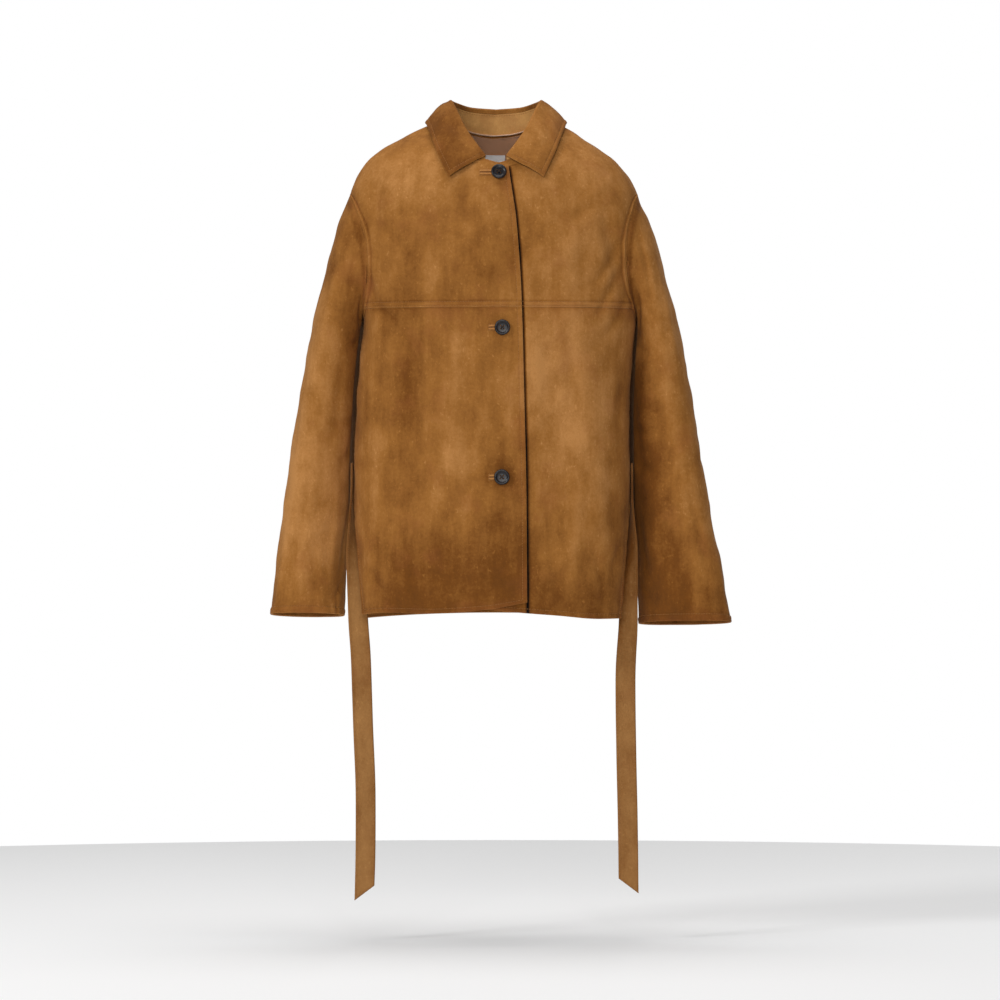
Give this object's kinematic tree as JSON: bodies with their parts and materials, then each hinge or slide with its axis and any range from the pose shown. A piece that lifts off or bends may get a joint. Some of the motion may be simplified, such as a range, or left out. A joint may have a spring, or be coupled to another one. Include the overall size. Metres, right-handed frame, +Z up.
{
  "type": "suede leather jacket with a tie belt",
  "caption": "Hollow, filled-out suede jacket with a shirt collar, buttoned front, yoke seam, side vents and long free tie-belt ends.",
  "frame": {"origin": "centre of the neck opening, level with the back neck seam, where the wearer's neck and shoulders hold the jacket", "axes": "+Z up; +X towards the wearer's left; -Y towards the jacket's front"},
  "size_m": [0.645, 0.238, 1.1206],
  "materials": {
    "suede": "matte napped suede, mottled tan",
    "lining": "satin",
    "piping": "satin",
    "label": "matte woven",
    "button": "soft gloss"
  },
  "bodies": {
    "root": {"back": "suede", "back_lining": "lining", "belt_tie_left": "suede", "belt_tie_right": "suede", "button_low": "button", "button_middle": "button", "button_top": "button", "buttonhole_low": "suede", "buttonhole_middle": "suede", "buttonhole_top": "suede", "collar_leaf": "suede", "collar_stand": "suede", "left_front_body": "suede", "left_front_yoke": "suede", "left_sleeve": "suede", "neck_label": "label", "neck_piping": "piping", "right_front_body": "suede", "right_front_yoke": "suede", "right_sleeve": "suede"}
  },
  "joints": []
}
